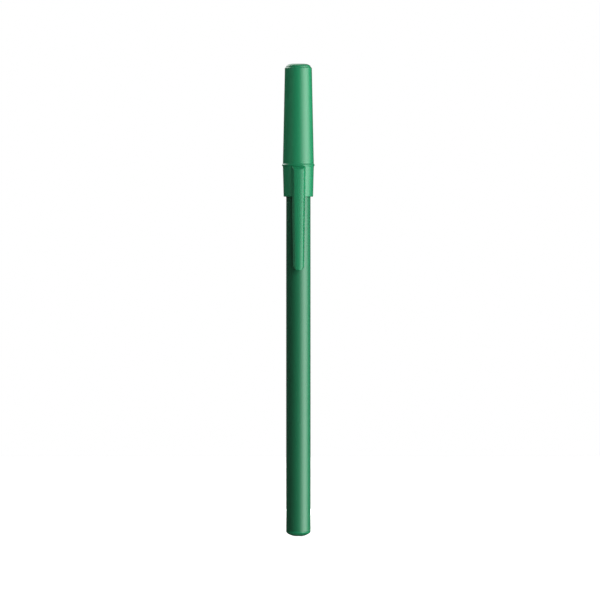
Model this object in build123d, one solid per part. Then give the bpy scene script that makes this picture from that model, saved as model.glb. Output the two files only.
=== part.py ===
from build123d import *
import math
import os

# A capped stick ballpoint pen. The pen's axis is Z, its rear end is at Z = 0 and its clip faces -Y. Sizes in mm.

# Barrel: a straight tube that is a hair slimmer from just behind the clip's end to the front
barrel_radius = 3.86
barrel_wall = 1.1
barrel_length = 116.63
barrel_draft = 0.02
barrel_draft_lead = 0.9

# End plug: a dome with a small flat at its middle, and a hollow spigot with one air groove
plug_dome_height = 1.42
plug_flat_radius = 1.3
plug_dome_shares = ((0.4, 0.12), (0.94, 0.55))
plug_spigot_length = 6.0
plug_spigot_wall = 0.8
plug_floor = 1.2
plug_groove_width = 0.8
plug_groove_depth = 0.35
plug_groove_mouth = 0.25

# Nose holder: flange, hollow flare, cone, and a spigot that holds the tube and the point
nose_flange_height = 0.7
nose_length = 9.75
nose_shoulder = 0.68
nose_flare_height = 1.55
nose_flare_hollow = 0.16
nose_taper = 0.5
nose_edge_round = 0.28
nose_spigot_length = 8.0
nose_spigot_lead = 0.3
nose_socket_ahead = 1.6

# Writing point: two cones, a shank in the nose and a nipple in the tube
point_cone_length = 6.85
point_neck_radius = 1.08
point_tip_length = 1.95
point_lip_wall = 0.1
shank_step = 0.25
nipple_length = 4.0
channel_radius = 0.5
channel_front_wall = 0.9
feed_radius = 0.22

# Writing ball, gripped a little past its middle by the lip
ball_radius = 0.5
ball_grip = 0.18
ball_clearance = 0.015

# Ink tube and ink
tube_radius = 1.5
tube_wall = 0.45
tube_rear_gap = 3.0
ink_headspace = 14.0
ink_clearance = 0.01

# Cap shell: collar, bead and tapered body round one bore
cap_grip_depth = 11.6
cap_bore_clearance = 0.16
collar_height = 9.48
collar_mouth_wall = 0.64
collar_flare = 0.23
collar_edge_round = 0.22
bead_height = 1.0
bead_stand = 0.29
bead_land = 0.1
bead_slope_share = 0.46
bead_round = 0.06
bead_root_round = 0.08
cap_body_height = 30.42
cap_taper = 0.62
cap_rim_bevel = 0.27
cap_crown_wall = 0.8
cap_mouth_lead = 0.2

# Ribs inside the cap: they grip the barrel, and their steps stop on the nose's flange
rib_count = 6
rib_width = 0.8
rib_lead = 1.0
rib_root = 0.15
rib_clearance = 0.03
stop_clearance = 0.03
stop_rib_gap = 0.3
stop_rib_height = 7.0

# Vent plug in the top of the cap: domed head on a stem, with one air passage at the back, along the stem and out
# under the head
vent_dome_height = 1.09
vent_flat_radius = 1.4
vent_dome_shares = ((0.03, 0.56), (0.29, 1.0))
vent_ledge = 0.36
vent_overhang = 0.65
vent_stem_length = 2.5
vent_stem_round = 0.3
vent_groove_width = 0.9
vent_groove_depth = 0.45
vent_slot_height = 0.25

# Pocket clip: a face that gets rounder towards its end, and sides that widen towards the barrel
clip_length = 23.2
clip_stand = 1.43
clip_top_width = 4.6
clip_end_width = 3.55
clip_face_share = 0.7
clip_face_top_radius = 4.6
clip_face_end_radius = 2.6
clip_edge_round = 0.25
clip_inner_round = 0.15
clip_top_drop = 0.03
clip_slope_drop = 0.72
clip_root_gap = 0.25
clip_end_gap = 0.57
clip_joint_gap = 0.02
clip_tip_height = 1.5
clip_tip_inner_cut = 0.72
clip_tip_side_cut = 0.68
clip_tip_outer_cut = 0.16

# Up from the clip's end: share of the tip's height, then shares of its inner, side and outer cuts
clip_tip_shares = ((1.0, 0.0, 0.0, 0.0), (0.61, 0.0, 0.1, 0.0), (0.28, 0.45, 0.4, 0.12), (0.0, 1.0, 1.0, 1.0))

# Fits and cuts
press_clearance = 0.01
overrun = 1.0

# Heights along the axis, from the rear end up
seam_z = plug_dome_height
barrel_front_z = seam_z + barrel_length
flange_top_z = barrel_front_z + nose_flange_height
flare_top_z = flange_top_z + nose_flare_height
nose_face_z = flange_top_z + nose_length
neck_z = nose_face_z + point_cone_length
lip_z = neck_z + point_tip_length
ball_z = lip_z - ball_grip
socket_end_z = flange_top_z + nose_socket_ahead
nose_rear_z = barrel_front_z - nose_spigot_length
plug_top_z = seam_z + plug_spigot_length
mouth_z = flange_top_z - cap_grip_depth
bead_z = mouth_z + collar_height
body_z = bead_z + bead_height
rim_z = body_z + cap_body_height
top_z = rim_z + vent_dome_height
stem_z = rim_z - vent_stem_length
clip_top_z = bead_z - clip_top_drop
clip_end_z = mouth_z - clip_length

# Radii that follow from the sizes above
barrel_bore = barrel_radius - barrel_wall
barrel_front_radius = barrel_radius - barrel_draft
spigot_radius = barrel_bore - press_clearance
nose_root_radius = barrel_front_radius - nose_shoulder
nose_front_radius = nose_root_radius - nose_taper
point_base_radius = nose_front_radius - nose_edge_round
tube_bore = tube_radius - tube_wall
nipple_radius = tube_bore - press_clearance
shank_radius = tube_bore + shank_step
seat_radius = ball_radius + ball_clearance
lip_radius = ball_radius + point_lip_wall
cap_bore = barrel_radius + cap_bore_clearance
collar_mouth_radius = cap_bore + collar_mouth_wall
collar_top_radius = collar_mouth_radius + collar_flare
bead_radius = collar_top_radius + bead_stand
cap_rim_radius = collar_top_radius - cap_taper
cap_crown_bore = cap_rim_radius - cap_crown_wall
vent_head_radius = cap_rim_radius - vent_ledge
vent_stem_radius = vent_head_radius - vent_overhang
clip_reach = collar_top_radius + clip_stand


def outline(*corners):
    """Closed flat face through (across, up) corners, where a third number rounds a corner."""
    face = make_face(Polyline(*[corner[:2] for corner in corners], close=True))
    for across, up, *rounding in corners:
        if rounding:
            face = round_corner(face, (across, up), *rounding)
    return face


def round_corner(face, place, rounding):
    """The face with its corner nearest to the place rounded."""
    return fillet(face.vertices().sort_by_distance(place)[0], rounding)


def turned(face):
    """Solid of revolution about the pen's axis, from a face of (radius, height) points."""
    return revolve(Plane.XZ * face, Axis.Z)


def dome(start, end, shares):
    """Dome's curve from start to end, with its handles as shares of the way across and up."""
    span = (end[0] - start[0], end[1] - start[1])
    handles = [(start[0] + span[0] * across, start[1] + span[1] * up) for across, up in shares]
    return Bezier(start, *handles, end)


def block(across, deep, low, high):
    """Box across X, over the given (from, to) depths in Y and between two heights."""
    centre = Pos(0, (deep[0] + deep[1]) / 2, (low + high) / 2)
    return centre * Box(across, deep[1] - deep[0], high - low)


def barrel():
    draft_z = clip_end_z - barrel_draft_lead
    return turned(outline(
        (barrel_bore, seam_z),
        (barrel_radius, seam_z),
        (barrel_radius, draft_z),
        (barrel_front_radius, barrel_front_z),
        (barrel_bore, barrel_front_z),
    ))


def end_plug():
    hollow = spigot_radius - plug_spigot_wall
    crown = dome((plug_flat_radius, 0), (barrel_radius, seam_z), plug_dome_shares)
    inside = Polyline(
        (barrel_radius, seam_z),
        (spigot_radius, seam_z),
        (spigot_radius, plug_top_z),
        (hollow, plug_top_z),
        (hollow, plug_floor),
        (0, plug_floor),
        (0, 0),
        (plug_flat_radius, 0),
    )
    body = turned(make_face([crown, *inside.edges()]))
    groove_floor = spigot_radius - plug_groove_depth
    groove = block(plug_groove_width, (groove_floor, spigot_radius + overrun), seam_z, plug_top_z + overrun)
    mouth = block(plug_groove_width, (groove_floor, barrel_radius + overrun), seam_z - plug_groove_mouth, seam_z)
    return body - groove - mouth


def nose_holder():
    socket = tube_radius + press_clearance
    bore = shank_radius + press_clearance
    flare = SagittaArc((barrel_front_radius, flange_top_z), (nose_root_radius, flare_top_z), nose_flare_hollow)
    rest = Polyline(
        (barrel_front_radius, flange_top_z),
        (barrel_front_radius, barrel_front_z),
        (spigot_radius, barrel_front_z),
        (spigot_radius, nose_rear_z + nose_spigot_lead),
        (spigot_radius - nose_spigot_lead, nose_rear_z),
        (socket, nose_rear_z),
        (socket, socket_end_z),
        (bore, socket_end_z),
        (bore, nose_face_z),
        (nose_front_radius, nose_face_z),
        (nose_root_radius, flare_top_z),
    )
    face = make_face([flare, *rest.edges()])
    return turned(round_corner(face, (nose_front_radius, nose_face_z), nose_edge_round))


def point_body():
    nipple_z = socket_end_z - nipple_length
    body = turned(outline(
        (0, nipple_z),
        (nipple_radius, nipple_z),
        (nipple_radius, socket_end_z),
        (shank_radius, socket_end_z),
        (shank_radius, nose_face_z),
        (point_base_radius, nose_face_z),
        (point_neck_radius, neck_z),
        (lip_radius, lip_z),
        (0, lip_z),
    ))
    channel = turned(outline(
        (0, nipple_z),
        (channel_radius, nipple_z),
        (channel_radius, ball_z - channel_front_wall),
        (feed_radius, ball_z - channel_front_wall),
        (feed_radius, ball_z),
        (0, ball_z),
    ))
    seat = Pos(0, 0, ball_z) * Sphere(seat_radius)
    return body - channel - seat


def writing_ball():
    return Pos(0, 0, ball_z) * Sphere(ball_radius)


def ink_tube():
    return turned(outline(
        (tube_bore, plug_top_z + tube_rear_gap),
        (tube_radius, plug_top_z + tube_rear_gap),
        (tube_radius, socket_end_z),
        (tube_bore, socket_end_z),
    ))


def ink():
    rear_z = plug_top_z + tube_rear_gap + ink_headspace
    neck_in_z = socket_end_z - nipple_length - ink_clearance
    step_z = ball_z - channel_front_wall - ink_clearance
    front_z = ball_z - seat_radius - ink_clearance
    return turned(outline(
        (0, rear_z),
        (tube_bore - ink_clearance, rear_z),
        (tube_bore - ink_clearance, neck_in_z),
        (channel_radius - ink_clearance, neck_in_z),
        (channel_radius - ink_clearance, step_z),
        (feed_radius - ink_clearance, step_z),
        (feed_radius - ink_clearance, front_z),
        (0, front_z),
    ))


def cap_outside():
    slope_z = body_z - bead_height * bead_slope_share
    return turned(outline(
        (0, mouth_z),
        (collar_mouth_radius, mouth_z, collar_edge_round),
        (collar_top_radius, bead_z),
        (bead_radius, slope_z - bead_land, bead_round),
        (bead_radius, slope_z, bead_round),
        (collar_top_radius, body_z, bead_root_round),
        (cap_rim_radius, rim_z - cap_rim_bevel),
        (cap_rim_radius - cap_rim_bevel, rim_z),
        (0, rim_z),
    ))


def cap_hollow():
    seat = vent_stem_radius + press_clearance
    return turned(outline(
        (0, mouth_z - overrun),
        (cap_bore + cap_mouth_lead, mouth_z - overrun),
        (cap_bore + cap_mouth_lead, mouth_z),
        (cap_bore, mouth_z + cap_mouth_lead),
        (cap_bore, flange_top_z),
        (cap_crown_bore, stem_z),
        (seat, stem_z),
        (seat, rim_z + overrun),
        (0, rim_z + overrun),
    ))


def cap_ribs():
    grip = barrel_radius + rib_clearance
    stop_z = flange_top_z + stop_clearance
    step = nose_root_radius + stop_rib_gap
    climb = nose_flare_height * (barrel_front_radius - step) / nose_shoulder
    rib = extrude(Plane.XZ * outline(
        (cap_bore + rib_root, mouth_z + rib_lead),
        (cap_bore, mouth_z + rib_lead),
        (grip, mouth_z + rib_lead + cap_bore_clearance),
        (grip, stop_z),
        (barrel_front_radius, stop_z),
        (step, stop_z + climb),
        (step, stop_z + stop_rib_height),
        (cap_bore + rib_root, stop_z + stop_rib_height),
    ), rib_width / 2, both=True)
    turn = 360 / rib_count
    return [Rot(0, 0, turn * index) * rib for index in range(rib_count)]


def clip_tapered(at_end, at_top, height):
    """A size of the clip at a height, between its values at the clip's end and top."""
    share = (height - clip_end_z) / (clip_top_z - clip_end_z)
    return at_end + (at_top - at_end) * share


def clip_half_width(height):
    return clip_tapered(clip_end_width, clip_top_width, height) / 2


def clip_section(height, half_width, inner, outer):
    """Clip's cross-section at a height: round outer face, drafted sides and a flat inner face."""
    front = half_width * clip_face_share
    bend = clip_tapered(clip_face_end_radius, clip_face_top_radius, height)
    side = outer - bend + math.sqrt(bend ** 2 - front ** 2)
    face = make_face([
        ThreePointArc((-front, -side), (0, -outer), (front, -side)),
        *Polyline((front, -side), (half_width, -inner), (-half_width, -inner), (-front, -side)).edges(),
    ])
    edge_round = min(clip_edge_round, (side - inner) / 2)
    for across in (-1, 1):
        face = round_corner(face, (across * front, -side), edge_round)
        face = round_corner(face, (across * half_width, -inner), clip_inner_round)
    return Plane.XY.offset(height) * face


def clip_root():
    """The clip's foot on the collar, with its top sloping down and out."""
    inner = barrel_radius - clip_root_gap
    heights = (mouth_z, clip_top_z)
    foot = loft([clip_section(z, clip_half_width(z), inner, clip_reach) for z in heights], ruled=True)
    fall = clip_slope_drop / clip_stand
    slope = extrude(Plane.YZ * outline(
        (-collar_top_radius, clip_top_z),
        (-clip_reach - overrun, clip_top_z - fall * (clip_stand + overrun)),
        (-clip_reach - overrun, clip_top_z + overrun),
        (-collar_top_radius, clip_top_z + overrun),
    ), clip_top_width, both=True)
    return foot - slope


def pocket_clip():
    """The clip's arm: a tapered bar with a cut-back tip, free of the barrel all the way."""
    arm_z = mouth_z - clip_joint_gap
    sections = [clip_section(arm_z, clip_half_width(arm_z), barrel_radius + clip_root_gap, clip_reach)]
    for height_share, inner_share, side_share, outer_share in clip_tip_shares:
        z = clip_end_z + clip_tip_height * height_share
        half_width = clip_half_width(z) - clip_tip_side_cut * side_share
        inner = barrel_radius + clip_end_gap + clip_tip_inner_cut * inner_share
        sections.append(clip_section(z, half_width, inner, clip_reach - clip_tip_outer_cut * outer_share))
    return loft(sections, ruled=True)


def cap():
    shell = cap_outside() + clip_root() - cap_hollow()
    for rib in cap_ribs():
        shell = shell + rib
    return shell


def cap_vent_plug():
    crown = dome((vent_head_radius, rim_z), (vent_flat_radius, top_z), vent_dome_shares)
    rest = Polyline(
        (vent_flat_radius, top_z),
        (0, top_z),
        (0, stem_z),
        (vent_stem_radius, stem_z),
        (vent_stem_radius, rim_z),
        (vent_head_radius, rim_z),
    )
    face = make_face([crown, *rest.edges()])
    plug = turned(round_corner(face, (vent_stem_radius, stem_z), vent_stem_round))
    floor = vent_stem_radius - vent_groove_depth
    groove = block(vent_groove_width, (floor, vent_stem_radius + overrun), stem_z - overrun, rim_z)
    slot = block(vent_groove_width, (floor, vent_head_radius + overrun), rim_z, rim_z + vent_slot_height)
    return plug - groove - slot


nodes = {
    "barrel": barrel(),
    "end_plug": end_plug(),
    "nose_holder": nose_holder(),
    "point_body": point_body(),
    "writing_ball": writing_ball(),
    "ink_tube": ink_tube(),
    "ink": ink(),
    "cap": cap(),
    "cap_vent_plug": cap_vent_plug(),
    "pocket_clip": pocket_clip(),
}

os.makedirs("parts", exist_ok=True)
for name, solid in nodes.items():
    export_step(solid, os.path.join("parts", name + ".step"))
    print(name, "volume", round(solid.volume, 3), "mm3")
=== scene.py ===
import math

import bmesh
import bpy
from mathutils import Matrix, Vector


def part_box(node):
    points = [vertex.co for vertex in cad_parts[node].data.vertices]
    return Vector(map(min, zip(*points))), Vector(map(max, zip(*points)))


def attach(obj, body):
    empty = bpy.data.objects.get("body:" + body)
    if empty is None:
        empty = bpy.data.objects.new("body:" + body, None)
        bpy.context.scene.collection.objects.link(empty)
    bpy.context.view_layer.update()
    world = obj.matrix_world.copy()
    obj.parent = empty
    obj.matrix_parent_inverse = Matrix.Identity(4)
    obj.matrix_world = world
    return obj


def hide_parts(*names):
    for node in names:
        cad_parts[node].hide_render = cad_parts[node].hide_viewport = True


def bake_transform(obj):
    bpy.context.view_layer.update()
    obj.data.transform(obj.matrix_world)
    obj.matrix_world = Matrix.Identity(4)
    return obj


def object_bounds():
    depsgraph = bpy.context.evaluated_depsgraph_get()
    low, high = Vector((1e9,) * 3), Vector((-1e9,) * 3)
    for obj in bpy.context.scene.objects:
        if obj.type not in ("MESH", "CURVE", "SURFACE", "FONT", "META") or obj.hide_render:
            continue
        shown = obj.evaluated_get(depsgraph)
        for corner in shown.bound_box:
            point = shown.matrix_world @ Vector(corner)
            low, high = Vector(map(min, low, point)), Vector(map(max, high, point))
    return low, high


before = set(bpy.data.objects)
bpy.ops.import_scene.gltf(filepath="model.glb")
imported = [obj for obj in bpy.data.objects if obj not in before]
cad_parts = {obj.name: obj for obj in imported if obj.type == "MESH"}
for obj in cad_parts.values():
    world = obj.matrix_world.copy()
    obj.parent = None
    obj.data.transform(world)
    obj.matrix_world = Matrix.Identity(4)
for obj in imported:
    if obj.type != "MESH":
        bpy.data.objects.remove(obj)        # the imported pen: bodies, nodes, joints and record
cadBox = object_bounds()
scene = bpy.context.scene
scene.view_settings.view_transform = "Standard"

mm = 0.001               # outlines below are (radius, height) in millimetres
tiny = 1e-6              # millimetres that count as none
pointGap = 1e-7          # metres; mesh points nearer than this are one
sides = 160              # flats round a turned piece
arcStep = 11.0           # degrees of a rounded corner between two points
fewestArcSteps = 3
domeSteps = 22
sharpAngle = math.radians(38)
shadingWeight = 90       # how far large faces set the shading of the edges beside them
bevelShare = 0.3         # a rounded edge's middle point, as a share of its inset


def span(node):
    low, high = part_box(node)
    return {"radius": high.x / mm, "reach": -low.y / mm, "low": low.z / mm, "high": high.z / mm}


barrelSpan, plugSpan, noseSpan = span("barrel"), span("end_plug"), span("nose_holder")
pointSpan, ballSpan = span("point_body"), span("writing_ball")
capSpan, ventSpan, clipSpan = span("cap"), span("cap_vent_plug"), span("pocket_clip")


# Shader wiring

class Wire:
    # one output socket; + - * and abs on it add Math nodes
    def __init__(self, tree, socket):
        self.tree, self.socket = tree, socket

    def calc(self, operation, first, second):
        node = self.tree.nodes.new("ShaderNodeMath")
        node.operation = operation
        for value, entry in zip((first, second), node.inputs):
            if isinstance(value, Wire):
                self.tree.links.new(value.socket, entry)
            else:
                entry.default_value = value
        return Wire(self.tree, node.outputs[0])

    def __add__(self, other):
        return self.calc("ADD", self, other)

    def __radd__(self, other):
        return self.calc("ADD", other, self)

    def __sub__(self, other):
        return self.calc("SUBTRACT", self, other)

    def __rsub__(self, other):
        return self.calc("SUBTRACT", other, self)

    def __mul__(self, other):
        return self.calc("MULTIPLY", self, other)

    def __rmul__(self, other):
        return self.calc("MULTIPLY", other, self)

    def __abs__(self):
        return self.calc("ABSOLUTE", self, 0.0)


class Wiring:
    # the node tree of a material or of the world
    def __init__(self, owner):
        owner.use_nodes = True
        self.tree = owner.node_tree
        self.tree.nodes.clear()

    def add(self, kind, settings=None, inputs=None, out=0):
        node = self.tree.nodes.new("ShaderNode" + kind)
        for name, value in (settings or {}).items():
            setattr(node, name, value)
        for name, value in (inputs or {}).items():
            entry = node.inputs[name]
            if isinstance(value, Wire):
                self.tree.links.new(value.socket, entry)
            else:
                entry.default_value = value
        return Wire(self.tree, node.outputs[out]) if len(node.outputs) else None

    def millimetres(self, stretch=(1, 1, 1)):
        place = self.add("TexCoord", {}, {}, "Object")
        scale = [part / mm for part in stretch]
        return self.add("VectorMath", {"operation": "MULTIPLY"}, {0: place, 1: scale})

    def noise(self, vector, scale, detail):
        return self.add("TexNoise", {}, {"Vector": vector, "Scale": scale, "Detail": detail})

    def ease(self, value, low, high):
        return self.add(
            "MapRange", {"interpolation_type": "SMOOTHSTEP"},
            {"Value": value, "From Min": low, "From Max": high})

    def blendColour(self, factor, first, second):
        return self.add("Mix", {"data_type": "RGBA"}, {0: factor, 6: first, 7: second}, 2)

    def close(self, shader, kind="OutputMaterial"):
        self.add(kind, {}, {"Surface": shader})


def tint(colour, level=1.0):
    return tuple(part * level for part in colour) + (1.0,)


plainWhite = tint((1, 1, 1))


# Finishes

def mouldedPlastic(name, look):
    material = bpy.data.materials.new(name)
    wiring = Wiring(material)
    along, streaks = wiring.millimetres(look["flowStretch"]), wiring.millimetres(look["rubStretch"])
    flow = wiring.noise(along, look["flowScale"], look["flowDetail"])                   # pigment streaks
    peel = wiring.noise(wiring.millimetres(), look["peelScale"], look["peelDetail"])    # skin of the mould
    rub = wiring.noise(streaks, look["rubScale"], look["rubDetail"])                    # handling lines
    lines = wiring.ease(rub, look["rubFrom"], look["rubTo"])
    dark, light = (tint(look["colour"], 1 + look["flow"] * way) for way in (-1, 1))
    colour = wiring.blendColour(flow, dark, light)
    roughness = look["roughness"] + (peel - 0.5) * look["roughnessSpread"] + lines * look["rubRoughness"]
    height = peel * look["peelHeight"] - lines * look["rubDepth"]
    relief = wiring.add("Bump", {}, {"Strength": 1.0, "Distance": mm, "Height": height})
    wiring.close(wiring.add("BsdfPrincipled", {}, {
        "Base Color": colour, "Roughness": roughness, "Normal": relief, "IOR": look["ior"]}))
    return material


capPlasticLook = {
    "colour": (0.018, 0.268, 0.115),
    "flow": 0.035, "flowScale": 0.35, "flowDetail": 3, "flowStretch": (1, 1, 0.18),
    "roughness": 0.22, "roughnessSpread": 0.08, "ior": 1.5,
    "peelScale": 5.0, "peelDetail": 2, "peelHeight": 0.0004,
    "rubScale": 3.0, "rubDetail": 4, "rubStretch": (2.5, 2.5, 0.12),
    "rubFrom": 0.64, "rubTo": 0.72, "rubRoughness": 0.06, "rubDepth": 0.0003,
}
barrelPlasticLook = {
    "colour": (0.019, 0.202, 0.090),
    "flow": 0.03, "flowScale": 0.3, "flowDetail": 3, "flowStretch": (1, 1, 0.08),
    "roughness": 0.24, "roughnessSpread": 0.08, "ior": 1.5,
    "peelScale": 4.0, "peelDetail": 2, "peelHeight": 0.0004,
    "rubScale": 3.0, "rubDetail": 4, "rubStretch": (2.5, 2.5, 0.08),
    "rubFrom": 0.64, "rubTo": 0.72, "rubRoughness": 0.06, "rubDepth": 0.0003,
}


def turnedBrass(look):
    material = bpy.data.materials.new("turnedBrass")
    wiring = Wiring(material)
    rings = wiring.millimetres(look["lineStretch"])
    cutLines = wiring.noise(rings, look["lineScale"], look["lineDetail"])        # left by the lathe
    cloud = wiring.noise(wiring.millimetres(), look["cloudScale"], look["cloudDetail"])
    colour = wiring.blendColour(cloud, *(tint(look["colour"], level) for level in look["cloudLevels"]))
    roughness = look["roughness"] + (cutLines - 0.5) * look["roughnessSpread"]
    height = cutLines * look["lineHeight"]
    relief = wiring.add("Bump", {}, {"Strength": 1.0, "Distance": mm, "Height": height})
    wiring.close(wiring.add("BsdfPrincipled", {}, {
        "Base Color": colour, "Metallic": 1.0, "Roughness": roughness, "Normal": relief}))
    return material


brassLook = {
    "colour": (0.78, 0.58, 0.27), "cloudScale": 1.2, "cloudDetail": 3, "cloudLevels": (0.93, 1.05),
    "lineScale": 14.0, "lineDetail": 2, "lineStretch": (0.15, 0.15, 1), "lineHeight": 0.0012,
    "roughness": 0.3, "roughnessSpread": 0.12,
}


def hardMetal(look):
    material = bpy.data.materials.new("hardMetal")
    wiring = Wiring(material)
    patches = wiring.noise(wiring.millimetres(), look["filmScale"], look["filmDetail"])
    film = wiring.ease(patches, look["filmFrom"], look["filmTo"])        # a trace of ink
    colour = wiring.blendColour(film, tint(look["colour"]), tint(look["filmColour"]))
    metallic = 1 - film * look["filmCover"]
    roughness = look["roughness"] + film * look["filmRoughness"]
    wiring.close(wiring.add("BsdfPrincipled", {}, {
        "Base Color": colour, "Metallic": metallic, "Roughness": roughness}))
    return material


ballLook = {
    "colour": (0.62, 0.58, 0.5), "roughness": 0.12,
    "filmColour": (0.05, 0.16, 0.08), "filmScale": 1.6, "filmDetail": 2, "filmFrom": 0.5, "filmTo": 0.68,
    "filmCover": 0.6, "filmRoughness": 0.1, "arcSteps": 28,
}


def milkyTube(look):
    material = bpy.data.materials.new("milkyTube")
    wiring = Wiring(material)
    haze = wiring.noise(wiring.millimetres(look["hazeStretch"]), look["hazeScale"], look["hazeDetail"])
    colour = wiring.blendColour(haze, *(tint(look["colour"], level) for level in look["hazeLevels"]))
    roughness = look["roughness"] + haze * look["hazeRoughness"]
    wiring.close(wiring.add("BsdfPrincipled", {}, {
        "Base Color": colour, "Roughness": roughness, "Transmission Weight": look["clear"]}))
    return material


tubeLook = {
    "colour": (0.82, 0.84, 0.83), "roughness": 0.28, "clear": 0.35, "hazeScale": 0.8, "hazeDetail": 2,
    "hazeStretch": (1, 1, 0.1), "hazeLevels": (0.92, 1.04), "hazeRoughness": 0.1,
}


def inkPaste(look):
    material = bpy.data.materials.new("inkPaste")
    wiring = Wiring(material)
    swirl = wiring.noise(wiring.millimetres(look["swirlStretch"]), look["swirlScale"], look["swirlDetail"])
    colour = wiring.blendColour(swirl, *(tint(look["colour"], level) for level in look["swirlLevels"]))
    roughness = look["roughness"] + swirl * look["swirlRoughness"]
    wiring.close(wiring.add("BsdfPrincipled", {}, {"Base Color": colour, "Roughness": roughness}))
    return material


inkLook = {
    "colour": (0.008, 0.07, 0.03), "roughness": 0.14, "swirlScale": 1.5, "swirlDetail": 3,
    "swirlStretch": (1, 1, 0.2), "swirlLevels": (0.8, 1.2), "swirlRoughness": 0.08,
}

capPlastic = mouldedPlastic("capPlastic", capPlasticLook)
barrelPlastic = mouldedPlastic("barrelPlastic", barrelPlasticLook)
brass = turnedBrass(brassLook)
carbide = hardMetal(ballLook)
tubePlastic = milkyTube(tubeLook)
ink = inkPaste(inkLook)
print("finishes made")


# Mesh helpers

def softCorners(corners, loop=False, arcPoints=0):
    # (radius, height, rounding) corners to points; a corner without rounding stays crisp
    points = []
    count = len(corners)
    for index, corner in enumerate(corners):
        place = Vector(corner[:2])
        rounding = corner[2] if len(corner) > 2 else 0
        if rounding < tiny or (not loop and index in (0, count - 1)):
            points.append(tuple(place))
            continue
        back = (Vector(corners[index - 1][:2]) - place).normalized()
        ahead = (Vector(corners[(index + 1) % count][:2]) - place).normalized()
        half = math.acos(max(-1.0, min(1.0, back.dot(ahead)))) / 2
        centre = place + (back + ahead).normalized() * rounding / math.sin(half)
        start = place + back * rounding / math.tan(half) - centre
        end = place + ahead * rounding / math.tan(half) - centre
        turn = start.angle_signed(end)
        steps = arcPoints or max(fewestArcSteps, math.ceil(abs(math.degrees(turn)) / arcStep))
        for step in range(steps + 1):
            angle = -turn * step / steps
            points.append((
                centre.x + start.x * math.cos(angle) - start.y * math.sin(angle),
                centre.y + start.x * math.sin(angle) + start.y * math.cos(angle)))
    return points


def curve(start, end, shares, steps=domeSteps):
    # a dome's side: its two handles are shares of the way across and up
    across, up = end[0] - start[0], end[1] - start[1]
    path = [start] + [(start[0] + across * a, start[1] + up * b) for a, b in shares] + [end]
    points = []
    for step in range(steps + 1):
        t = step / steps
        weights = ((1 - t) ** 3, 3 * t * (1 - t) ** 2, 3 * t * t * (1 - t), t ** 3)
        points.append(tuple(sum(w * p[axis] for w, p in zip(weights, path)) for axis in (0, 1)))
    return points


def around(cuts=(), half=0.0, edge=0.35):
    # angles round the axis, and whether each is inside one of the cuts
    steps = []
    for index in range(sides):
        angle = 360 * index / sides
        if all(abs((angle - cut + 180) % 360 - 180) > half + 2 * edge for cut in cuts):
            steps.append((angle, False))
    for cut in cuts:
        steps += [((cut - half - edge) % 360, False), ((cut + half + edge) % 360, False)]
        steps += [((cut + half * share) % 360, True) for share in (-1, -0.5, 0, 0.5, 1)]
    return sorted(steps)


def finishMesh(name, points, faces, material):
    mesh = bpy.data.meshes.new(name)
    mesh.from_pydata([Vector(point) * mm for point in points], [], faces)
    work = bmesh.new()
    work.from_mesh(mesh)
    bmesh.ops.remove_doubles(work, verts=work.verts, dist=pointGap)
    bmesh.ops.recalc_face_normals(work, faces=work.faces)
    work.to_mesh(mesh)
    work.free()
    for face in mesh.polygons:
        face.use_smooth = True
    mesh.set_sharp_from_angle(angle=sharpAngle)
    mesh.materials.append(material)
    piece = bpy.data.objects.new(name, mesh)
    scene.collection.objects.link(piece)
    weigh = piece.modifiers.new("evenShading", "WEIGHTED_NORMAL")
    weigh.keep_sharp = True
    weigh.weight = shadingWeight
    return piece


def turned(name, profile, material, loop=False, other=None, cuts=(), half=0.0):
    # a turned piece; inside the cuts it follows the other profile, point for point
    steps = around(cuts, half)
    ringLow, ringHigh = (0, len(profile)) if loop else (1, len(profile) - 1)
    size = ringHigh - ringLow
    points, faces = [], []
    for angle, inside in steps:
        across, back = math.cos(math.radians(angle)), math.sin(math.radians(angle))
        for radius, height in (other if inside else profile)[ringLow:ringHigh]:
            points.append((radius * across, radius * back, height))
    for index in range(len(steps)):
        here, there = index * size, ((index + 1) % len(steps)) * size
        for step in range(size if loop else size - 1):
            ahead = (step + 1) % size
            faces.append((here + step, there + step, there + ahead, here + ahead))
    if not loop:
        for end, ring in ((0, 0), (len(profile) - 1, size - 1)):
            points.append((0, 0, profile[end][1]))
            for index in range(len(steps)):
                here, there = index * size, ((index + 1) % len(steps)) * size
                faces.append((len(points) - 1, here + ring, there + ring))
    return finishMesh(name, points, faces, material)


def lofted(name, rings, material):
    # a bar through rings of the same number of points, closed at both ends
    size = len(rings[0])
    points = [point for ring in rings for point in ring]
    faces = []
    for index in range(len(rings) - 1):
        for step in range(size):
            here, ahead = index * size + step, index * size + (step + 1) % size
            faces.append((here, ahead, ahead + size, here + size))
    faces += [tuple(range(size)), tuple(range(len(points) - size, len(points)))]
    return finishMesh(name, points, faces, material)


def dress(piece, slot, *nodes):
    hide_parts(*nodes)


# Barrel

barrelLook = {"wall": 1.1, "draft": 0.02, "draftFrom": 83.05, "rearEdge": 0.12, "frontEdge": 0.08}


def makeBarrel(look):
    radius, low, high = barrelSpan["radius"], barrelSpan["low"], barrelSpan["high"]
    bore = radius - look["wall"]
    profile = softCorners([
        (bore, low), (radius, low, look["rearEdge"]), (radius, look["draftFrom"]),
        (radius - look["draft"], high, look["frontEdge"]), (bore, high)], loop=True)
    piece = turned("barrel_tube", profile, barrelPlastic, loop=True)
    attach(piece, "barrel")
    dress(piece, "barrel_plastic", "barrel")


makeBarrel(barrelLook)
print("barrel made")


# End plug: a dome on the rear end, with one air groove at the back

plugLook = {
    "flat": 1.3, "shares": ((0.4, 0.12), (0.94, 0.55)), "spigot": 2.75, "hollow": 1.95, "floor": 1.2,
    "grooveFloor": 2.4, "grooveMouth": 0.25, "grooveAt": 90, "grooveHalf": 6.2,
}


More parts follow.
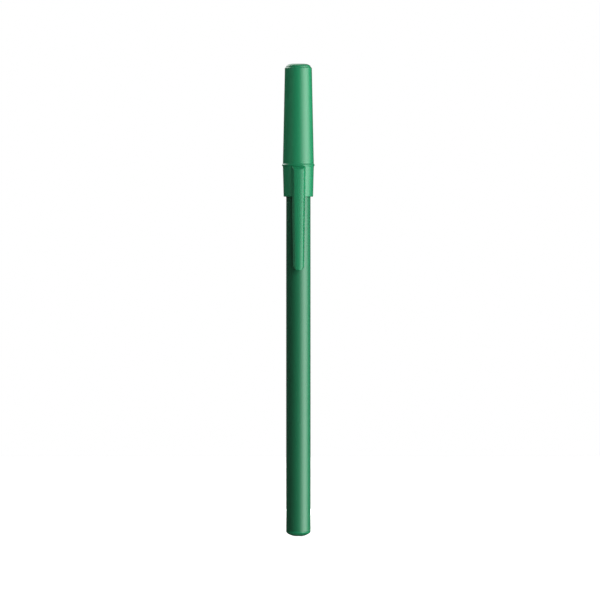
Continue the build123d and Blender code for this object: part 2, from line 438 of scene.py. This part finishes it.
def makeEndPlug(look):
    seam, top, radius = barrelSpan["low"], plugSpan["high"], barrelSpan["radius"]
    dome = curve((look["flat"], 0), (radius, seam), look["shares"])
    profile = [(0, 0)] + dome + [
        (look["spigot"], seam), (look["spigot"], top), (look["hollow"], top),
        (look["hollow"], look["floor"]), (0, look["floor"])]
    lip, deep = seam - look["grooveMouth"], look["grooveFloor"]
    grooved = []
    for radius, height in profile:
        if height <= seam and radius > deep:
            grooved.append((radius, min(height, lip)))
        elif height > seam and radius > look["hollow"]:
            grooved.append((min(radius, deep), height))
        else:
            grooved.append((radius, height))
    piece = turned(
        "rear_plug", profile, capPlastic, other=grooved, cuts=(look["grooveAt"],), half=look["grooveHalf"])
    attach(piece, "barrel")
    dress(piece, "cap_plastic", "end_plug")


makeEndPlug(plugLook)
print("end plug made")


# Nose

noseLook = {
    "flange": 0.7, "seamEdge": 0.05, "flangeEdge": 0.1, "root": 3.16, "front": 2.66, "edge": 0.28,
    "flareHeight": 1.55, "flareOut": 0.3, "flareUp": 0.4, "flareSteps": 14,
    "flareShares": ((0.62, 0.12), (0.92, 0.55)),
    "spigot": 2.75, "lead": 0.3, "socket": 1.51, "socketAhead": 1.6, "bore": 1.31,
}


def makeNose(look):
    seam, rear, face = barrelSpan["high"], noseSpan["low"], noseSpan["high"]
    radius = noseSpan["radius"]
    shoulder = seam + look["flange"]
    flareTop = shoulder + look["flareHeight"]
    socketEnd = shoulder + look["socketAhead"]
    flange = softCorners([
        (look["spigot"], seam), (radius, seam, look["seamEdge"]), (radius, shoulder, look["flangeEdge"]),
        (look["root"] + look["flareOut"], shoulder + look["flareUp"])])[:-1]
    flare = curve(flange[-1], (look["root"], flareTop), look["flareShares"], look["flareSteps"])[1:]
    cone = softCorners([flare[-1], (look["front"], face, look["edge"]), (look["bore"], face)])[1:]
    inside = [
        (look["bore"], socketEnd), (look["socket"], socketEnd), (look["socket"], rear),
        (look["spigot"] - look["lead"], rear), (look["spigot"], rear + look["lead"])]
    piece = turned("nose_cone", flange + flare + cone + inside, capPlastic, loop=True)
    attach(piece, "barrel")
    dress(piece, "cap_plastic", "nose_holder")


makeNose(noseLook)
print("nose made")


# Writing point and ball

pointLook = {
    "base": 2.38, "baseEdge": 0.06, "coneLength": 6.85, "neck": 1.08, "neckEdge": 0.25,
    "lip": 0.6, "lipEdge": 0.05, "seatGap": 0.015, "bowlSteps": 12, "nipple": 1.04, "shank": 1.3,
}


def makePoint(look):
    face, rear, lip = noseSpan["high"], pointSpan["low"], pointSpan["high"]
    socketEnd = barrelSpan["high"] + noseLook["flange"] + noseLook["socketAhead"]
    centre = (ballSpan["low"] + ballSpan["high"]) / 2
    seat = ballSpan["radius"] + look["seatGap"]
    rim = math.sqrt(seat ** 2 - (lip - centre) ** 2)
    outside = softCorners([
        (0, rear), (look["nipple"], rear), (look["nipple"], socketEnd), (look["shank"], socketEnd),
        (look["shank"], face), (look["base"], face, look["baseEdge"]),
        (look["neck"], face + look["coneLength"], look["neckEdge"]),
        (look["lip"], lip, look["lipEdge"]), (rim, lip)])
    start = math.atan2(lip - centre, rim)
    bowl = []
    for step in range(1, look["bowlSteps"] + 1):
        angle = start - (start + math.pi / 2) * step / look["bowlSteps"]
        bowl.append((max(seat * math.cos(angle), 0.0), centre + seat * math.sin(angle)))
    piece = turned("brass_point", outside + bowl, brass)
    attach(piece, "barrel")
    dress(piece, "point_brass", "point_body")


def makeBall(look):
    centre, radius = (ballSpan["low"] + ballSpan["high"]) / 2, ballSpan["radius"]
    steps = look["arcSteps"]
    arc = [math.pi * step / steps - math.pi / 2 for step in range(steps + 1)]
    profile = [(max(radius * math.cos(a), 0.0), centre + radius * math.sin(a)) for a in arc]
    piece = turned("ball", profile, carbide)
    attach(piece, "ball")
    dress(piece, "ball_metal", "writing_ball")


makePoint(pointLook)
makeBall(ballLook)
print("writing point made")


# Cap shell

capLook = {
    "mouth": 4.66, "mouthEdge": 0.22, "mouthLead": 0.2, "collarHeight": 9.48, "collarTop": 4.89,
    "beadHeight": 1.0, "beadLand": 0.1, "beadSlope": 0.46,
    "beadEdge": 0.06, "beadRoot": 0.08, "beadFoot": 0.05,
    "rim": 4.27, "rimBevel": 0.27, "rimEdge": 0.03, "seat": 3.27, "seatDepth": 2.5,
    "bore": 4.02, "crownBore": 3.47, "cavityFrom": 118.75,
    "ribs": 6, "ribHalf": 5.7, "ribGrip": 3.89, "ribLead": 1.0, "ribLeadRise": 0.16,
    "ribStop": 118.78, "ribStopEdge": 3.84, "ribStopRise": 0.02,
    "ribStep": 3.46, "ribClimb": 0.87, "ribTop": 125.78, "ribTopRise": 0.1,
}


def makeCap(look):
    mouth, rim, bead = capSpan["low"], capSpan["high"], capSpan["radius"]
    collar = mouth + look["collarHeight"]
    body = collar + look["beadHeight"]
    slope = body - look["beadSlope"]
    outside = softCorners([
        (look["bore"] + look["mouthLead"], mouth), (look["mouth"], mouth, look["mouthEdge"]),
        (look["collarTop"], collar, look["beadFoot"]), (bead, slope - look["beadLand"], look["beadEdge"]),
        (bead, slope, look["beadEdge"]), (look["collarTop"], body, look["beadRoot"]),
        (look["rim"], rim - look["rimBevel"], look["rimEdge"]),
        (look["rim"] - look["rimBevel"], rim, look["rimEdge"]), (look["seat"], rim)])
    seatLow = rim - look["seatDepth"]

    def cavity(height):
        share = (height - look["cavityFrom"]) / (seatLow - look["cavityFrom"])
        return look["bore"] + (look["crownBore"] - look["bore"]) * max(0.0, share)

    # inner heights with the bore's radius and the rib's radius
    climbTop, ribTop = look["ribStop"] + look["ribClimb"], look["ribTop"]
    leadTop = mouth + look["ribLead"]
    inner = [
        (ribTop + look["ribTopRise"], cavity(ribTop), cavity(ribTop)),
        (ribTop, cavity(ribTop), look["ribStep"]),
        (climbTop, cavity(climbTop), look["ribStep"]),
        (look["ribStop"], look["bore"], look["ribStopEdge"]),
        (look["ribStop"] - look["ribStopRise"], look["bore"], look["ribGrip"]),
        (leadTop + look["ribLeadRise"], look["bore"], look["ribGrip"]),
        (leadTop, look["bore"], look["bore"]),
        (mouth + look["mouthLead"], look["bore"], look["bore"])]
    crown = [(look["seat"], seatLow), (look["crownBore"], seatLow)]
    profile = outside + crown + [(bore, height) for height, bore, rib in inner]
    ribbed = outside + crown + [(rib, height) for height, bore, rib in inner]
    places = [360 * index / look["ribs"] for index in range(look["ribs"])]
    piece = turned(
        "cap_shell", profile, capPlastic, loop=True, other=ribbed, cuts=places, half=look["ribHalf"])
    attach(piece, "cap")
    dress(piece, "cap_plastic", "cap")


makeCap(capLook)
print("cap made")


# Vent plug in the cap's top

ventLook = {
    "head": 3.91, "flat": 1.4, "shares": ((0.03, 0.56), (0.29, 1.0)), "stem": 3.26, "stemEdge": 0.3,
    "grooveAt": 90, "grooveHalf": 7.8, "grooveFloor": 2.81, "slot": 0.25,
}


def makeVentPlug(look):
    rim, top, low = capSpan["high"], ventSpan["high"], ventSpan["low"]
    stem = softCorners([
        (0, low), (look["stem"], low, look["stemEdge"]), (look["stem"], rim), (look["head"], rim)])[:-1]
    dome = curve((look["head"], rim), (look["flat"], top), look["shares"])
    profile = stem + dome + [(0, top)]
    slotTop = rim + look["slot"]
    slotRadius = max(r for r, z in dome if z >= slotTop)
    grooved = []
    for radius, height in profile:
        if height < rim - tiny:
            grooved.append((min(radius, look["grooveFloor"]), height))
        elif height < slotTop:
            grooved.append((look["grooveFloor"] if (radius, height) in stem else slotRadius, slotTop))
        else:
            grooved.append((radius, height))
    piece = turned(
        "vent_plug", profile, capPlastic, other=grooved, cuts=(look["grooveAt"],), half=look["grooveHalf"])
    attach(piece, "cap")
    dress(piece, "cap_plastic", "cap_vent_plug")


makeVentPlug(ventLook)
print("vent plug made")


# Pocket clip: one bar from its root on the collar to its tip, its inner face drawing away from the barrel
# below the cap's mouth

clipLook = {
    "topWidth": 4.6, "endWidth": 3.55, "faceShare": 0.7, "topBend": 4.6, "endBend": 2.6, "faceSteps": 12,
    "outerEdge": 0.25, "innerEdge": 0.15, "edgeSteps": 6, "rootGap": 0.25, "endGap": 0.57,
    "topDrop": 0.03, "slopeDrop": 0.72, "stand": 1.43, "topEdge": 0.14, "levelFrom": 0.6,
    "tipHeight": 1.5, "innerCut": 0.72, "sideCut": 0.68, "outerCut": 0.16, "tipEdge": 0.1,
    "tipShares": (       # height, inner, side, outer
        (0.61, 0.0, 0.1, 0.0), (0.28, 0.45, 0.4, 0.12), (0.0, 1.0, 1.0, 1.0)),
    "bendLength": 6.0, "steps": 18,
}


def clipRing(look, heightAt, half, bend, inner, outer):
    # round face, drafted sides, flat inner face, all edges rounded
    front = half * look["faceShare"]
    corners = []
    for step in range(look["faceSteps"] + 1):
        across = front * (2 * step / look["faceSteps"] - 1)
        corners.append((across, bend - outer - math.sqrt(bend ** 2 - across ** 2), 0.0))
    for end in (0, -1):
        corners[end] = corners[end][:2] + (look["outerEdge"],)
    corners += [(half, -inner, look["innerEdge"]), (-half, -inner, look["innerEdge"])]
    return [(x, y, heightAt(y)) for x, y in softCorners(corners, loop=True, arcPoints=look["edgeSteps"])]


def makeClip(look):
    reach, end, mouth = clipSpan["reach"], clipSpan["low"], capSpan["low"]
    top = mouth + capLook["collarHeight"] - look["topDrop"]
    fall = look["slopeDrop"] / look["stand"]
    barrelRadius = barrelSpan["radius"]

    def tapered(name, height):
        share = (height - end) / (top - end)
        return look["end" + name] + (look["top" + name] - look["end" + name]) * share

    def halfWidth(height):
        return tapered("Width", height) / 2

    def innerFace(height):
        share = min(1.0, max(0.0, (mouth - height) / (mouth - end - look["tipHeight"])))
        return barrelRadius + look["rootGap"] + (look["endGap"] - look["rootGap"]) * share

    def sloped(drop):
        return lambda y: top - drop - fall * (-y - capLook["collarTop"])

    def level(height):
        return lambda y: height

    rings = []
    edge = look["topEdge"]
    for inset, drop in ((edge, 0.0), (edge * bevelShare, edge * bevelShare), (0.0, edge)):
        rings.append(clipRing(
            look, sloped(drop), halfWidth(top) - inset, look["topBend"], innerFace(top), reach - inset))
    first, last = top - look["slopeDrop"] - look["levelFrom"], end + look["tipHeight"]
    for step in range(look["steps"] + 1):
        height = first + (last - first) * step / look["steps"]
        rings.append(clipRing(
            look, level(height), halfWidth(height), tapered("Bend", height), innerFace(height), reach))
    for share, innerShare, sideShare, outerShare in look["tipShares"]:
        height = end + look["tipHeight"] * share
        half = halfWidth(height) - look["sideCut"] * sideShare
        inner = innerFace(end) + look["innerCut"] * innerShare
        outer = reach - look["outerCut"] * outerShare
        insets = ((0.0, 0.0),)
        if share == 0:                   # the last edge is rounded
            insets = ((0.0, 1.0), (bevelShare, bevelShare), (1.0, 0.0))
        for inset, lift in insets:
            cut = look["tipEdge"] * inset
            rings.append(clipRing(
                look, level(height + look["tipEdge"] * lift), half - cut, tapered("Bend", height),
                inner + cut, outer - cut))
    piece = lofted("clip_bar", rings, capPlastic)
    hinge = -reach * mm
    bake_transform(piece)
    dress(piece, "cap_plastic", "pocket_clip")


makeClip(clipLook)
print("clip made")


# Pieces that stay as they come from the frame

for node, material in (("ink_tube", tubePlastic), ("ink", ink)):
    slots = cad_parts[node].data.materials
    slots.clear()
    slots.append(material)
print("tube and ink finished")


# Studio

studioLook = {
    "ambient": 0.02, "glossWhite": 0.05,
    # degrees right of the camera and up, spans to each side, brightness: the main softbox, then one for
    # edges that face up and left, and one behind for the cap's top
    "panels": (
        {"turn": 63, "rise": -12, "left": 59, "right": 50, "tall": 75, "level": 5.2},
        {"turn": -150, "rise": 30, "left": 40, "right": 70, "tall": 24, "level": 3.1},
        {"turn": 180, "rise": 65, "left": 85, "right": 85, "tall": 40, "level": 1.3},
    ),
    "panelCore": 0.4,    # share of a panel's height that has its full brightness
    # soft fill, power in watts at one metre; the paler plastic lets some light through, so it has a fill
    # of its own, and the brass has one that shows in reflections
    "lamps": (
        {"name": "frontFill", "turn": 12, "rise": -10, "size": 0.8, "power": 1.8},
        {"name": "backFill", "turn": 172, "rise": 8, "size": 0.5, "power": 3.0},
        {"name": "leftFill", "turn": -60, "rise": -10, "size": 0.8, "power": 0.4},
        {"name": "capFill", "turn": -62, "rise": -10, "size": 0.8, "power": 2.7,
         "pieces": ("cap_shell", "vent_plug", "clip_bar", "nose_cone", "rear_plug")},
        {"name": "pointFill", "turn": -125, "rise": 20, "size": 1.2, "power": 3.6,
         "pieces": ("brass_point", "ball"), "gloss": True},
    ),
    "floorSize": 8.0, "floorDrop": 0.02, "floorColour": (0.82, 0.82, 0.82), "floorGlow": 0.55,
}


def makeWorld(look):
    world = bpy.data.worlds.new("studio")
    scene.world = world
    wiring = Wiring(world)
    way = wiring.add("TexCoord", {}, {}, "Generated")
    x, y, z = (wiring.add("SeparateXYZ", {}, {0: way}, axis) for axis in "XYZ")
    rise = z.calc("ARCSINE", z, 0.0)
    light = look["ambient"]
    for panel in look["panels"]:
        turn, tallest = math.radians(panel["turn"]), math.radians(panel["tall"])
        ahead = x * math.sin(turn) - y * math.cos(turn)
        aside = x * math.cos(turn) + y * math.sin(turn)
        swing = x.calc("ARCTAN2", aside, ahead)
        wide = (wiring.ease(swing, -math.radians(panel["left"]), 0.0)
                * wiring.ease(swing, math.radians(panel["right"]), 0.0))
        tall = wiring.ease(abs(rise - math.radians(panel["rise"])), tallest, tallest * look["panelCore"])
        light = light + wide * tall * panel["level"]
    lit = wiring.add("Background", {}, {"Color": plainWhite, "Strength": light})
    white = wiring.add("Background", {}, {"Color": plainWhite, "Strength": 1.0})
    camera, through, gloss = (wiring.add("LightPath", {}, {}, "Is %s Ray" % kind)
                              for kind in ("Camera", "Transmission", "Glossy"))
    seen = camera + through + gloss * look["glossWhite"]
    wiring.close(wiring.add("MixShader", {}, {0: seen, 1: lit, 2: white}), "OutputWorld")


def makeLamps(look):
    middle = (cadBox[0] + cadBox[1]) / 2
    for lamp in look["lamps"]:
        data = bpy.data.lights.new(lamp["name"], "AREA")
        data.size = lamp["size"]
        data.energy = lamp["power"]
        light = bpy.data.objects.new(lamp["name"], data)
        scene.collection.objects.link(light)
        turn, rise = math.radians(lamp["turn"]), math.radians(lamp["rise"])
        away = Vector((math.sin(turn) * math.cos(rise), -math.cos(turn) * math.cos(rise), math.sin(rise)))
        light.location = middle + away
        light.rotation_euler = away.to_track_quat("Z", "Y").to_euler()
        light.visible_camera = False
        light.visible_glossy = lamp.get("gloss", False)
        if "pieces" in lamp:             # these alone are lit
            lit = bpy.data.collections.new(lamp["name"])
            for name in lamp["pieces"]:
                lit.objects.link(bpy.data.objects[name])
            light.light_linking.receiver_collection = lit


def makeFloor(look):
    half = look["floorSize"] / 2
    mesh = bpy.data.meshes.new("floor")
    corners = [(-half, -half), (half, -half), (half, half), (-half, half)]
    mesh.from_pydata([(x, y, -look["floorDrop"] * mm) for x, y in corners], [], [(0, 1, 2, 3)])
    material = bpy.data.materials.new("paleFloor")
    wiring = Wiring(material)
    matt = wiring.add("BsdfDiffuse", {}, {"Color": tint(look["floorColour"])})
    seen = wiring.add("LightPath", {}, {}, "Is Camera Ray")
    glow = wiring.add("Emission", {}, {"Color": plainWhite, "Strength": seen * look["floorGlow"]})
    wiring.close(wiring.add("AddShader", {}, {0: matt, 1: glow}))
    mesh.materials.append(material)
    floor = bpy.data.objects.new("floor", mesh)
    scene.collection.objects.link(floor)
    floor.visible_diffuse = False        # the pen isn't lit or mirrored by the floor
    floor.visible_glossy = False


makeWorld(studioLook)
makeLamps(studioLook)
makeFloor(studioLook)
print("studio made")


# Camera: level with the middle of the photograph, far off, with a long lens

cameraLook = {
    "mmPerPixel": 0.31575, "pixels": 600, "axisPixel": 298.35, "rearPixel": 536.05,
    "distance": 8.0, "farthest": 50.0, "sensor": 36.0,       # metres, metres, millimetres
    "turn": -1.0,        # degrees round the pen, to the clip's left
}


def makeCamera(look):
    data = bpy.data.cameras.new("photoCamera")
    camera = bpy.data.objects.new("photoCamera", data)
    scene.collection.objects.link(camera)
    middle = look["pixels"] / 2
    aside = (middle - look["axisPixel"]) * look["mmPerPixel"] * mm
    height = (look["rearPixel"] - middle) * look["mmPerPixel"] * mm
    turn = math.radians(look["turn"])
    along = Vector((math.sin(turn), -math.cos(turn), 0))
    across = Vector((math.cos(turn), math.sin(turn), 0))
    camera.location = along * look["distance"] + across * aside + Vector((0, 0, height))
    camera.rotation_euler = (math.radians(90), 0, turn)
    data.sensor_width = look["sensor"]
    data.lens = look["sensor"] * look["distance"] / (look["pixels"] * look["mmPerPixel"] * mm)
    data.clip_end = look["farthest"]
    scene.camera = camera


makeCamera(cameraLook)
print("camera set")
